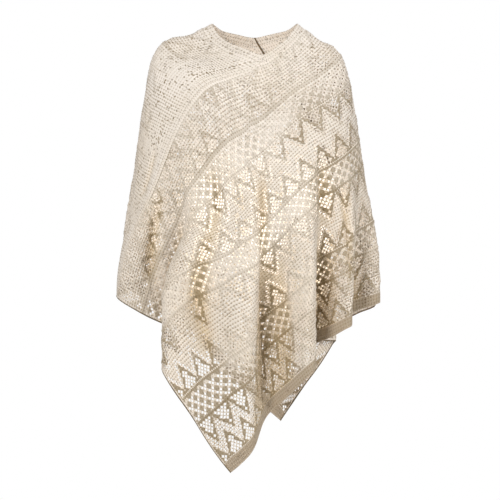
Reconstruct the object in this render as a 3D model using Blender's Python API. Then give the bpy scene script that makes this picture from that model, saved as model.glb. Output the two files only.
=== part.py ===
"""Lace-knit wrap poncho, worn shape, in metres: +Z up, the front faces -Y.

Two equal knitted rectangles. A short end of each is sewn to the other's inner long edge, which leaves
the neck open between the two shoulders and one long point in front and one behind. Laid out flat, the
sewn cloth is half a round sheet about one apex, so every spot of it has a reach (its distance from
that apex) and a cloth angle, and the wearer's form is given by rings over reach and folds over angle.
"""

import math

import bmesh
import bpy
from mathutils import Vector

# Cut of one rectangle.
PANEL_LENGTH = 0.87
PANEL_WIDTH = 0.60
NECK_PART = PANEL_LENGTH - PANEL_WIDTH  # the stretch of the inner edge left open for the neck
BORDER_WIDTH = 0.013                    # plain knit along the inner edge
RIB_WIDTH = 0.022                       # ribbed hem band
PANEL_THICKNESS = 0.0020
BORDER_THICKNESS = 0.0024
RIB_THICKNESS = 0.0026
SEAM_GAP = 0.0003

# Cells along the two edges; the sewn edges use the same steps, so their facets meet.
ACROSS_CELLS = 25
NECK_CELLS = 12

APEX_ALONG = PANEL_LENGTH - NECK_PART / 2
APEX_OUT = NECK_PART / 2
HEM_REACH = 0.75        # reach at which the fold table holds in full
COLLAR_REACH = 0.08     # length over which the neck edge blends into the rings
STEPS_DOWN = 40         # steps in which the cloth's own length is laid down each line
SIDE_STRETCH = 1.04     # the hanging weight draws the lace out over the shoulders
POINT_STRETCH = 0.975   # and the long points take up a little
FLARE = 0.02            # how much the points spread below the fold table, per metre
FOLD_RUN = 0.012        # cloth laid along a fold per degree of cloth angle, which rounds each turn

# The wearer's form: reach, half width, x shift, front depth, back depth, squareness between the axes.
RINGS = (
    (0.135, 0.087, 0.009, 0.052, 0.050, -0.02),
    (0.160, 0.109, 0.008, 0.069, 0.062, -0.05),
    (0.191, 0.137, 0.007, 0.086, 0.074, -0.08),
    (0.224, 0.169, 0.006, 0.102, 0.086, -0.10),
    (0.250, 0.188, 0.003, 0.112, 0.096, -0.09),
    (0.285, 0.202, 0.000, 0.122, 0.106, -0.06),
    (0.330, 0.211, 0.000, 0.129, 0.113, -0.02),
    (0.416, 0.225, 0.000, 0.140, 0.122, 0.00),
    (0.535, 0.240, 0.000, 0.154, 0.134, 0.00),
    (0.634, 0.255, 0.000, 0.166, 0.146, 0.00),
    (0.750, 0.268, 0.000, 0.178, 0.160, 0.00),
    (1.040, 0.290, 0.000, 0.200, 0.180, 0.00),
)

# The neck edge as it lies: cloth angle in degrees, x, y, z.
NECK_EDGE = (
    (45.0, 0.009, 0.074, -0.016),
    (56.0, 0.045, 0.066, -0.010),
    (67.5, 0.076, 0.046, -0.006),
    (90.0, 0.097, 0.000, 0.000),
    (112.5, 0.076, -0.048, -0.036),
    (124.0, 0.053, -0.072, -0.059),
    (135.0, 0.024, -0.086, -0.077),
    (146.0, -0.012, -0.077, -0.063),
    (157.5, -0.044, -0.056, -0.047),
    (169.0, -0.066, -0.030, -0.025),
    (180.0, -0.078, 0.000, 0.000),
    (202.5, -0.056, 0.046, -0.007),
    (214.0, -0.026, 0.066, -0.011),
)

# Ridges and valleys: cloth angle, x and y at the hem reach, the reach at which each starts.
FOLDS = (
    (92.0, 0.264, -0.025, 0.45),    # ridge, right side
    (98.5, 0.194, -0.040, 0.42),
    (104.3, 0.194, -0.120, 0.42),   # ridge, right front
    (111.8, 0.126, -0.070, 0.38),
    (119.0, 0.118, -0.166, 0.42),   # ridge, right of the point
    (126.8, 0.038, -0.112, 0.46),
    (132.6, -0.004, -0.178, 0.48),  # ridge at the front point
    (139.6, -0.102, -0.150, 0.50),
    (146.0, -0.168, -0.166, 0.50),  # ridge, left of the point
    (153.4, -0.128, -0.082, 0.44),
    (158.6, -0.180, -0.092, 0.44),
    (164.5, -0.240, -0.100, 0.48),  # ridge, left front
    (170.5, -0.268, -0.042, 0.50),
    (176.5, -0.228, -0.005, 0.42),
    (183.5, -0.263, 0.040, 0.45),   # ridge, left side
    (190.0, -0.198, 0.046, 0.42),
    (196.0, -0.194, 0.120, 0.42),   # ridge, left back
    (203.0, -0.124, 0.075, 0.38),
    (210.0, -0.100, 0.163, 0.42),   # ridge, left of the back point
    (218.0, -0.016, 0.112, 0.46),
    (225.5, 0.072, 0.172, 0.48),    # ridge at the back point
    (231.5, 0.130, 0.142, 0.50),
    (237.5, 0.186, 0.162, 0.50),    # ridge, right of the back point
    (245.0, 0.138, 0.086, 0.44),
    (251.0, 0.196, 0.094, 0.44),
    (256.5, 0.246, 0.096, 0.46),    # ridge, right back
    (262.5, 0.262, 0.046, 0.44),
    (267.5, 0.226, 0.012, 0.42),
)

# Length bunched up near the collar: cloth angle, slack.
SLACK = (
    (45.0, -0.020),
    (56.0, 0.000),
    (66.0, 0.014),
    (78.0, 0.006),
    (90.0, -0.004),
    (104.0, 0.004),
    (118.0, 0.008),
    (135.0, -0.009),
    (142.0, 0.018),
    (151.0, 0.044),
    (156.0, 0.053),
    (161.0, 0.049),
    (166.0, 0.042),
    (172.0, 0.026),
    (182.0, 0.004),
    (205.0, 0.000),
)
SLACK_REACH = 0.17


def smooth(share):
    """Ease from 0 to 1."""
    share = min(max(share, 0.0), 1.0)
    return share * share * (3.0 - 2.0 * share)


def curve_through(rows, column, at):
    """Read one column of a table at a place between its rows, on a smooth curve."""
    last = len(rows) - 1
    low = 0
    while low < last - 1 and rows[low + 1][0] <= at:
        low += 1

    def slope(k):
        before, after = rows[max(k - 1, 0)], rows[min(k + 1, last)]
        return (after[column] - before[column]) / (after[0] - before[0])

    a, b = rows[low], rows[low + 1]
    span = b[0] - a[0]
    u = min(max((at - a[0]) / span, 0.0), 1.0)
    return (
        (2 * u**3 - 3 * u**2 + 1) * a[column]
        + (u**3 - 2 * u**2 + u) * span * slope(low)
        + (3 * u**2 - 2 * u**3) * b[column]
        + (u**3 - u**2) * span * slope(low + 1)
    )


def looped(rows):
    """Repeat a table's ends once round the cloth, so that its curve closes."""
    head = [(row[0] + 180.0, *row[1:]) for row in rows[:3]]
    tail = [(row[0] - 180.0, *row[1:]) for row in rows[-3:]]
    return (*tail, *rows, *head)


NECK_LOOP = looped(NECK_EDGE)
FOLD_LOOP = looped(FOLDS)
SLACK_LOOP = looped(SLACK)


def fold_point(around):
    """Place on the folded hem line: each turn is passed at the cloth's own even pace."""
    low = 1
    while FOLD_LOOP[low + 1][0] <= around:
        low += 1

    def pace(k):
        before, after = Vector(FOLD_LOOP[k - 1][1:3]), Vector(FOLD_LOOP[k + 1][1:3])
        return (after - before).normalized() * FOLD_RUN

    a, b = FOLD_LOOP[low], FOLD_LOOP[low + 1]
    span = b[0] - a[0]
    u = (around - a[0]) / span
    return (
        Vector(a[1:3]) * (2 * u**3 - 3 * u**2 + 1)
        + pace(low) * (u**3 - 2 * u**2 + u) * span
        + Vector(b[1:3]) * (3 * u**2 - 2 * u**3)
        + pace(low + 1) * (u**3 - u**2) * span
    )


def wrap(angle, start):
    """Bring a cloth angle into the half turn that begins at start."""
    return (angle - start) % 180.0 + start


def neck_reach(angle):
    """Reach of the neck edge at a cloth angle."""
    return APEX_OUT / math.sin(math.radians((angle - 45.0) % 90.0 + 45.0))


def ring_point(reach, angle):
    """Place on the wearer's form, seen from above, with no folds."""
    half, shift, front, back, square = (curve_through(RINGS, k, reach) for k in range(1, 6))
    azimuth = math.radians(2.0 * (90.0 - angle))
    depth = front if math.sin(azimuth) < 0.0 else back
    even = (half**2 - depth**2) / (4.0 * (half**2 + depth**2))
    turn = azimuth + even * math.sin(2.0 * azimuth)
    grow = 1.0 + square * math.sin(2.0 * turn) ** 2
    return shift + half * math.cos(turn) * grow, depth * math.sin(turn) * grow


def plan_point(reach, angle):
    """Place seen from above: the ring, drawn to the neck edge above and into the folds below."""
    x, y = ring_point(reach, angle)
    rim = neck_reach(angle)
    collar = 1.0 - smooth((reach - rim) / COLLAR_REACH)
    if collar > 0.0:
        rim_x, rim_y = ring_point(rim, angle)
        around = wrap(angle, 45.0)
        x += collar * (curve_through(NECK_LOOP, 1, around) - rim_x)
        y += collar * (curve_through(NECK_LOOP, 2, around) - rim_y)
    around = wrap(angle, 92.0)
    start = curve_through(FOLD_LOOP, 3, around)
    folded = smooth((reach - start) / (HEM_REACH - start))
    if folded > 0.0:
        hem = fold_point(around) * (1.0 + FLARE * max(reach - HEM_REACH, 0.0))
        x += folded * (hem.x - x)
        y += folded * (hem.y - y)
    return x, y


def surface_point(reach, angle):
    """Place on the cloth's middle surface: its own length is laid down the line from the neck."""
    rim = neck_reach(angle)
    around = wrap(angle, 45.0)
    z = curve_through(NECK_LOOP, 3, around)
    x, y = plan_point(rim, angle)
    sideways = math.cos(math.radians(2.0 * (90.0 - angle))) ** 2
    step = (reach - rim) / STEPS_DOWN
    length = step * (POINT_STRETCH + (SIDE_STRETCH - POINT_STRETCH) * sideways)
    for k in range(1, STEPS_DOWN + 1):
        next_x, next_y = plan_point(rim + step * k, angle)
        fall = length**2 - (next_x - x) ** 2 - (next_y - y) ** 2
        z -= math.sqrt(max(fall, (0.2 * length) ** 2))
        x, y = next_x, next_y
    z += curve_through(SLACK_LOOP, 1, around) * smooth((reach - rim) / SLACK_REACH)
    return Vector((x, y, z))


def cloth_point(along, across, behind):
    """Middle surface at a place on a rectangle; behind puts it on the second one."""
    flat_x, flat_y = along - APEX_ALONG, across + APEX_OUT
    angle = math.degrees(math.atan2(flat_y, flat_x)) + (90.0 if behind else 0.0)
    return surface_point(math.hypot(flat_x, flat_y), angle)


def cloth_normal(along, across, behind):
    """Outward direction of the cloth at a place on a rectangle."""
    d = 0.0015
    run = cloth_point(along + d, across, behind) - cloth_point(along - d, across, behind)
    rise = cloth_point(along, across + d, behind) - cloth_point(along, across - d, behind)
    return run.cross(rise).normalized() * -1.0


def steps_between(start, end, count):
    """Even places from start to end, both kept."""
    return [start + (end - start) * k / count for k in range(count + 1)]


def across_places():
    """Places over the width: inner edge, border, panel, rib, hem."""
    inside = steps_between(BORDER_WIDTH, PANEL_WIDTH - RIB_WIDTH, ACROSS_CELLS)
    return [0.0, *inside, PANEL_WIDTH]


def along_places():
    """Places over the length: the sewn stretch mirrors the width's, then the neck part."""
    sewn = [PANEL_WIDTH - place for place in reversed(across_places())]
    return sewn + steps_between(PANEL_WIDTH, PANEL_LENGTH, NECK_CELLS)[1:]


def inset(places, low, high):
    """Draw the first and last place of a piece in from its seams."""
    return [places[0] + low, *places[1:-1], places[-1] - high]


def cloth_piece(name, along, across, behind, thickness, home):
    """Build one closed piece: a grid laid on the form's inside, with its outside pulled from it."""
    mesh = bpy.data.meshes.new(name)
    grid = bmesh.new()
    columns, rows = len(along) - 1, len(across) - 1
    bmesh.ops.create_grid(grid, x_segments=columns, y_segments=rows, size=1.0)
    cells = {}
    for vert in grid.verts:
        column = round((vert.co.x + 1.0) * columns / 2.0)
        row = round((vert.co.y + 1.0) * rows / 2.0)
        cells[vert] = (along[column], across[row])
    outward = {}
    for vert, (run, rise) in cells.items():
        outward[vert] = cloth_normal(run, rise, behind) * thickness
        vert.co = cloth_point(run, rise, behind) - outward[vert] * 0.5
    inner = list(grid.verts)
    start = [vert.co.copy() for vert in inner]
    lookup = {tuple(round(c, 7) for c in co): outward[vert] for co, vert in zip(start, inner)}
    pulled = bmesh.ops.extrude_face_region(grid, geom=list(grid.faces))
    for vert in pulled["geom"]:
        if isinstance(vert, bmesh.types.BMVert):
            vert.co += lookup[tuple(round(c, 7) for c in vert.co)]
    bmesh.ops.recalc_face_normals(grid, faces=list(grid.faces))
    bmesh.ops.triangulate(grid, faces=list(grid.faces), quad_method="SHORT_EDGE")
    grid.to_mesh(mesh)
    grid.free()
    piece = bpy.data.objects.new(name, mesh)
    home.objects.link(piece)
    return piece


def knit_material(name, colour, roughness):
    """Matte knit in one colour."""
    material = bpy.data.materials.new(name)
    material.use_nodes = True
    shader = material.node_tree.nodes["Principled BSDF"]
    shader.inputs["Base Color"].default_value = (*colour, 1.0)
    shader.inputs["Roughness"].default_value = roughness
    shader.inputs["Metallic"].default_value = 0.0
    return material


def main():
    """Build both rectangles with their borders and ribbed hems."""
    for old in list(bpy.data.objects):
        bpy.data.objects.remove(old, do_unlink=True)
    home = bpy.data.collections.new("wrap_poncho")
    bpy.context.scene.collection.children.link(home)
    half_gap = SEAM_GAP / 2.0
    across, along = across_places(), along_places()
    sewn_along = inset(along, 0.0, half_gap)
    strips = (
        ("border", inset(across[:2], half_gap, half_gap), BORDER_THICKNESS, (0.80, 0.70, 0.60)),
        ("panel", inset(across[1:-1], half_gap, half_gap), PANEL_THICKNESS, (0.80, 0.71, 0.61)),
        ("hem_rib", inset(across[-2:], half_gap, 0.0), RIB_THICKNESS, (0.76, 0.66, 0.55)),
    )
    for side, behind in (("front", False), ("back", True)):
        for strip, places, thickness, colour in strips:
            name = f"{side}_{strip}"
            piece = cloth_piece(name, sewn_along, places, behind, thickness, home)
            piece.data.materials.append(knit_material(name, colour, 0.9))


main()
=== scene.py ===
"""Lace-knit wrap poncho, finished: open stitches, ribbed hems, rolled neck edge and soft studio light.

Each rectangle is knitted flat, stitch by stitch, on a chart of half columns and half rows, and is then
laid on the worn form. The form is the one that the solid pieces have: rings over reach, folds over
cloth angle, with the listed creases on top.
"""

import logging
import math
from dataclasses import dataclass, field
from enum import Enum

import bmesh
import bpy
import numpy as np
from mathutils import Matrix, Vector


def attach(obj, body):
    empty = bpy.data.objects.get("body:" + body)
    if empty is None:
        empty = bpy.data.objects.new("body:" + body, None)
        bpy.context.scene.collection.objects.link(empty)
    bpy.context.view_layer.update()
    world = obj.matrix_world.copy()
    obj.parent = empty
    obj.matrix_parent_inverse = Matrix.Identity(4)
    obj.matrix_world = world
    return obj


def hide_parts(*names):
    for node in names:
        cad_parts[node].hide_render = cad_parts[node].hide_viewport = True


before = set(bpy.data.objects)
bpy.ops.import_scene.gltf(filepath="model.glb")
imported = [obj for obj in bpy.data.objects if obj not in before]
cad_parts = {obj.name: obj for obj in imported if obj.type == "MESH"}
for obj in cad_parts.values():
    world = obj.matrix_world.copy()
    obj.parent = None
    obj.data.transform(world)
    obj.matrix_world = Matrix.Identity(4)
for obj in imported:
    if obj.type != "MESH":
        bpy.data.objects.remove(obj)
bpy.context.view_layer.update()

LOG = logging.getLogger("wrap_poncho")

Face = bmesh.types.BMFace
Sheet = bmesh.types.BMesh
Socket = bpy.types.NodeSocket

# Cut of one rectangle.
PANEL_LENGTH = 0.87
PANEL_WIDTH = 0.60
BORDER_WIDTH = 0.013
RIB_WIDTH = 0.022
FIELD_EDGE = PANEL_WIDTH - RIB_WIDTH
SEAM_GAP = 0.0002
HALF_GAP = SEAM_GAP / 2.0

# The flat sheet's apex, from the corner of a rectangle.
APEX_OUT = 0.135
APEX_ALONG = PANEL_LENGTH - APEX_OUT

# Chart: one column is two half columns, one row two half rows.
COLUMNS = 180
ROWS = 131
COLUMN_WIDTH = PANEL_LENGTH / COLUMNS
ROW_HEIGHT = (PANEL_WIDTH - BORDER_WIDTH - RIB_WIDTH) / ROWS
STITCH_AREA = COLUMN_WIDTH * ROW_HEIGHT / 2.0
REPEAT = 20                 # half columns from one tooth of the zigzag to the next
TOOTH = 20                  # half rows from the foot of a tooth to its tip
LINE_STITCHES = 1.4         # half columns of dense stitches round each tooth
SLIT_START = 2.4            # half columns from a tooth to the ladder of slits beside it
DIAMOND = 5                 # half columns and half rows across one small diamond and its net
PLAIN_END = 336             # half column from which the sewn end is plain
SEAM_EYELETS = 66           # half rows, from the neck, of the eyelets along the sewn end
GAPING = (85, 132)          # half columns of the row of eyelets beside the sewn edge

# Pinholes of the drawn-up cloth: the share of its stitches, the part of that outside the groups, the
# waves along and across that group them, and the steps and stretch of their scatter.
PINHOLES = 0.10
PINHOLE_BASE = 0.3
PINHOLE_WAVES = ((0.19, 1.0), (0.075, 0.5))
PINHOLE_SCATTER = (12.9898, 78.233, 43758.5453)

# Names of the flat map, of the faces' attributes, which carry painted shade, and of the group that thins the
# wall.
UV_NAME = "Flat"
PAINTED_SHADE_NAME = "Tone"
FOLD_SHADE_NAME = "Valley"
YARN_NAME = "Yarn"

# Angles of the flat cloth about its apex, in degrees. A half turn of cloth goes once round the garment.
CORNER_ANGLE = 45.0
FOLD_ANGLE = 92.0
QUARTER_TURN = 90.0
HALF_TURN = 180.0
SHARP_ANGLE = 55.0          # edges over this are left crisp

CREASE_END = 0.35           # share of a crease's height that is left at its ends
CREASE_FADE = 0.6           # how it fades towards them; 1 is a plain half wave


class Side(Enum):
    """Which of the two rectangles a piece belongs to, by its turn about the apex in degrees."""

    FRONT = 0.0
    BACK = 90.0

    @property
    def word(self) -> str:
        """Name used in the pieces' names."""
        return self.name.lower()


class Stitch(Enum):
    """Stitches of the chart: open or not, height over the cloth in metres, and how much painted shade darkens
    them.
    """

    # The tones are painted shade: the dense lines, ridges and blocks, the yarn round the eyelets and, a
    # little, the net's strands are darkened to stand for their shade.
    NET = (True, 0.0, 0.18)
    SLIT = (True, 0.0, 0.15)
    EYELET = (True, 0.0001, 1.0)
    PLAIN = (False, 0.0, 0.0)
    RIDGE = (False, 0.0013, 0.9)
    LINE = (False, 0.0012, 0.9)
    BLOCK = (False, 0.0006, 0.8)

    def __init__(self, is_open: bool, height: float, tone: float) -> None:
        """Keep the stitch's facts.

        Args:
            is_open: Whether the stitch leaves a hole.
            height: How far it stands out of the cloth, in metres.
            tone: How much painted shade darkens its colour, from 0 to 1.
        """
        self.is_open = is_open
        self.height = height
        self.tone = tone


class Course(Enum):
    """Kinds of pattern course."""

    ZIGZAG = "zigzag"
    DIAMONDS = "diamonds"


@dataclass(frozen=True)
class Zone:
    """One pattern course, counted in rows from the ribbed hem."""

    course: Course
    low: int
    rows: int


ZONES = (
    Zone(Course.ZIGZAG, 0, 20),
    Zone(Course.DIAMONDS, 20, 13),
    Zone(Course.ZIGZAG, 33, 26),
    Zone(Course.DIAMONDS, 59, 12),
    Zone(Course.ZIGZAG, 71, 26),
    Zone(Course.DIAMONDS, 97, 13),
    Zone(Course.ZIGZAG, 110, 21),
)

# Pieces of one lace field: name, first row and last row from the hem. They meet on ridges that stand out.
FIELD_PARTS = (
    ("low_lace", 0, 33),
    ("middle_lace", 33, 71),
    ("high_lace", 71, 97),
    ("top_lace", 97, 131),
)


# Form

def smooth(share: np.ndarray) -> np.ndarray:
    """Ease from 0 to 1.

    Args:
        share: Places, where 0 and below give 0, and 1 and above give 1.

    Returns:
        The eased shares.
    """
    share = np.clip(share, 0.0, 1.0)
    return share * share * (3.0 - 2.0 * share)


def curve(u: np.ndarray, span: np.ndarray, ends: tuple, slopes: tuple) -> np.ndarray:
    """Read a smooth curve between two rows of a table.

    Args:
        u: Shares of the way from the first row to the second.
        span: The distance between the rows.
        ends: The values at the two rows.
        slopes: The slopes there.

    Returns:
        The values at the shares.
    """
    return (
        (2 * u**3 - 3 * u**2 + 1) * ends[0]
        + (u**3 - 2 * u**2 + u) * span * slopes[0]
        + (3 * u**2 - 2 * u**3) * ends[1]
        + (u**3 - u**2) * span * slopes[1]
    )


@dataclass(frozen=True)
class Ease:
    """A share that eases in over a run from a start, up to its gain; a run below zero goes the other way."""

    start: float
    run: float
    gain: float = 1.0

    def at(self, place: np.ndarray) -> np.ndarray:
        """Share at some places."""
        return self.gain * smooth((place - self.start) / self.run)


@dataclass(frozen=True)
class Table:
    """Rows of numbers with named columns, read between its rows on a smooth curve."""

    columns: tuple[str, ...]
    rows: tuple[tuple[float, ...], ...]
    is_looped: bool = False

    def array(self) -> np.ndarray:
        """Rows as an array, with three rows more at each end where the table is looped.

        Returns:
            An array of the rows, ordered by the first column.
        """
        rows = np.array(self.rows)
        if not self.is_looped:
            return rows
        turn = np.zeros(rows.shape[1])
        turn[0] = HALF_TURN
        return np.vstack([rows[-3:] - turn, rows, rows[:3] + turn])

    def read(self, column: str, at: np.ndarray) -> np.ndarray:
        """Read one column at places of the first column.

        Args:
            column: Name of the column.
            at: Places along the first column.

        Returns:
            The column's values there.
        """
        rows = self.array()
        place, value = rows[:, 0], rows[:, self.columns.index(column)]
        before = np.maximum(np.arange(len(place)) - 1, 0)
        after = np.minimum(np.arange(len(place)) + 1, len(place) - 1)
        slope = (value[after] - value[before]) / (place[after] - place[before])
        low = np.clip(np.searchsorted(place, at, side="right") - 1, 0, len(place) - 2)
        span = place[low + 1] - place[low]
        u = np.clip((at - place[low]) / span, 0.0, 1.0)
        return curve(u, span, (value[low], value[low + 1]), (slope[low], slope[low + 1]))


RINGS = Table(
    ("reach", "half", "shift", "front", "back", "square"),
    (
        (0.135, 0.087, 0.009, 0.052, 0.050, -0.02),
        (0.160, 0.109, 0.008, 0.069, 0.062, -0.05),
        (0.191, 0.137, 0.007, 0.086, 0.074, -0.08),
        (0.224, 0.169, 0.006, 0.102, 0.086, -0.10),
        (0.250, 0.188, 0.003, 0.112, 0.096, -0.09),
        (0.285, 0.202, 0.000, 0.122, 0.106, -0.06),
        (0.330, 0.211, 0.000, 0.129, 0.113, -0.02),
        (0.416, 0.225, 0.000, 0.140, 0.122, 0.00),
        (0.535, 0.240, 0.000, 0.154, 0.134, 0.00),
        (0.634, 0.255, 0.000, 0.166, 0.146, 0.00),
        (0.750, 0.268, 0.000, 0.178, 0.160, 0.00),
        (1.040, 0.290, 0.000, 0.200, 0.180, 0.00),
    ),
)

NECK_EDGE = Table(
    ("angle", "x", "y", "z"),
    (
        (45.0, 0.009, 0.074, -0.016),
        (56.0, 0.045, 0.066, -0.010),
        (67.5, 0.076, 0.046, -0.006),
        (90.0, 0.097, 0.000, 0.000),
        (112.5, 0.076, -0.048, -0.036),
        (124.0, 0.053, -0.072, -0.059),
        (135.0, 0.024, -0.086, -0.077),
        (146.0, -0.012, -0.077, -0.063),
        (157.5, -0.044, -0.056, -0.047),
        (169.0, -0.066, -0.030, -0.025),
        (180.0, -0.078, 0.000, 0.000),
        (202.5, -0.056, 0.046, -0.007),
        (214.0, -0.026, 0.066, -0.011),
    ),
    is_looped=True,
)

FOLDS = Table(
    ("angle", "x", "y", "start"),
    (
        (92.0, 0.264, -0.025, 0.45),
        (98.5, 0.194, -0.040, 0.42),
        (104.3, 0.194, -0.120, 0.42),
        (111.8, 0.126, -0.070, 0.38),
        (119.0, 0.118, -0.166, 0.42),
        (126.8, 0.038, -0.112, 0.46),
        (132.6, -0.004, -0.178, 0.48),
        (139.6, -0.102, -0.150, 0.50),
        (146.0, -0.168, -0.166, 0.50),
        (153.4, -0.128, -0.082, 0.44),
        (158.6, -0.180, -0.092, 0.44),
        (164.5, -0.240, -0.100, 0.48),
        (170.5, -0.268, -0.042, 0.50),
        (176.5, -0.228, -0.005, 0.42),
        (183.5, -0.263, 0.040, 0.45),
        (190.0, -0.198, 0.046, 0.42),
        (196.0, -0.194, 0.120, 0.42),
        (203.0, -0.124, 0.075, 0.38),
        (210.0, -0.100, 0.163, 0.42),
        (218.0, -0.016, 0.112, 0.46),
        (225.5, 0.072, 0.172, 0.48),
        (231.5, 0.130, 0.142, 0.50),
        (237.5, 0.186, 0.162, 0.50),
        (245.0, 0.138, 0.086, 0.44),
        (251.0, 0.196, 0.094, 0.44),
        (256.5, 0.246, 0.096, 0.46),
        (262.5, 0.262, 0.046, 0.44),
        (267.5, 0.226, 0.012, 0.42),
    ),
    is_looped=True,
)

SLACK = Table(
    ("angle", "slack"),
    (
        (45.0, -0.020),
        (56.0, 0.000),
        (66.0, 0.014),
        (78.0, 0.006),
        (90.0, -0.004),
        (104.0, 0.004),
        (118.0, 0.008),
        (135.0, -0.009),
        (142.0, 0.018),
        (151.0, 0.044),
        (156.0, 0.053),
        (161.0, 0.049),
        (166.0, 0.042),
        (172.0, 0.026),
        (182.0, 0.004),
        (205.0, 0.000),
    ),
    is_looped=True,
)


@dataclass(frozen=True)
class Crease:
    """A soft trough or ridge on one rectangle, from one flat place to another, in metres."""

    side: Side
    start: tuple[float, float]
    end: tuple[float, float]
    width: float
    height: float

    def lift(self, flat: np.ndarray) -> np.ndarray:
        """Height of the crease over flat places.

        Args:
            flat: Places along and across the rectangle, one row each.

        Returns:
            The lift at each place, in metres.
        """
        start, end = np.array(self.start), np.array(self.end)
        run = end - start
        share = np.clip(((flat - start) @ run) / (run @ run), 0.0, 1.0)
        nearest = start + share[:, None] * run
        away = np.linalg.norm(flat - nearest, axis=1)
        fade = CREASE_END + (1.0 - CREASE_END) * np.sin(math.pi * share) ** CREASE_FADE
        return self.height * fade * np.exp(-((away / self.width) ** 2))


CREASES = (
    # neck edge, neck fold and the two seams
    Crease(Side.FRONT, (0.330, 0.004), (0.215, 0.006), 0.010, 0.0035),
    Crease(Side.BACK, (0.850, 0.300), (0.850, 0.400), 0.007, -0.0050),
    Crease(Side.BACK, (0.845, 0.030), (0.800, 0.020), 0.008, -0.0040),
    Crease(Side.BACK, (0.780, 0.010), (0.735, 0.045), 0.010, -0.0030),
    Crease(Side.FRONT, (0.850, 0.320), (0.850, 0.410), 0.007, -0.0045),
    # troughs of the front, from the viewer's left to right
    Crease(Side.FRONT, (0.225, 0.045), (0.075, 0.100), 0.016, -0.0120),
    Crease(Side.FRONT, (0.345, 0.125), (0.255, 0.240), 0.015, -0.0100),
    Crease(Side.FRONT, (0.255, 0.240), (0.130, 0.405), 0.018, -0.0130),
    Crease(Side.FRONT, (0.450, 0.185), (0.368, 0.296), 0.014, -0.0125),
    Crease(Side.FRONT, (0.368, 0.296), (0.250, 0.500), 0.015, -0.0090),
    Crease(Side.FRONT, (0.575, 0.255), (0.540, 0.368), 0.015, -0.0130),
    Crease(Side.FRONT, (0.600, 0.330), (0.575, 0.500), 0.014, -0.0125),
    # ridges of the front
    Crease(Side.FRONT, (0.395, 0.165), (0.200, 0.425), 0.019, 0.0020),
    Crease(Side.FRONT, (0.505, 0.215), (0.365, 0.440), 0.017, 0.0045),
    Crease(Side.FRONT, (0.300, 0.070), (0.160, 0.235), 0.018, 0.0045),
    Crease(Side.FRONT, (0.640, 0.020), (0.560, 0.090), 0.014, 0.0025),
    # the same on the back, a little shifted
    Crease(Side.BACK, (0.215, 0.050), (0.085, 0.105), 0.016, -0.0110),
    Crease(Side.BACK, (0.335, 0.130), (0.245, 0.250), 0.016, -0.0105),
    Crease(Side.BACK, (0.245, 0.250), (0.140, 0.400), 0.018, -0.0125),
    Crease(Side.BACK, (0.440, 0.190), (0.360, 0.310), 0.014, -0.0120),
    Crease(Side.BACK, (0.360, 0.310), (0.240, 0.490), 0.016, -0.0090),
    Crease(Side.BACK, (0.585, 0.250), (0.550, 0.360), 0.015, -0.0120),
    Crease(Side.BACK, (0.385, 0.170), (0.195, 0.430), 0.019, 0.0050),
    Crease(Side.BACK, (0.515, 0.210), (0.375, 0.430), 0.017, 0.0040),
    Crease(Side.BACK, (0.640, 0.020), (0.560, 0.090), 0.014, 0.0025),
)


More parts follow.
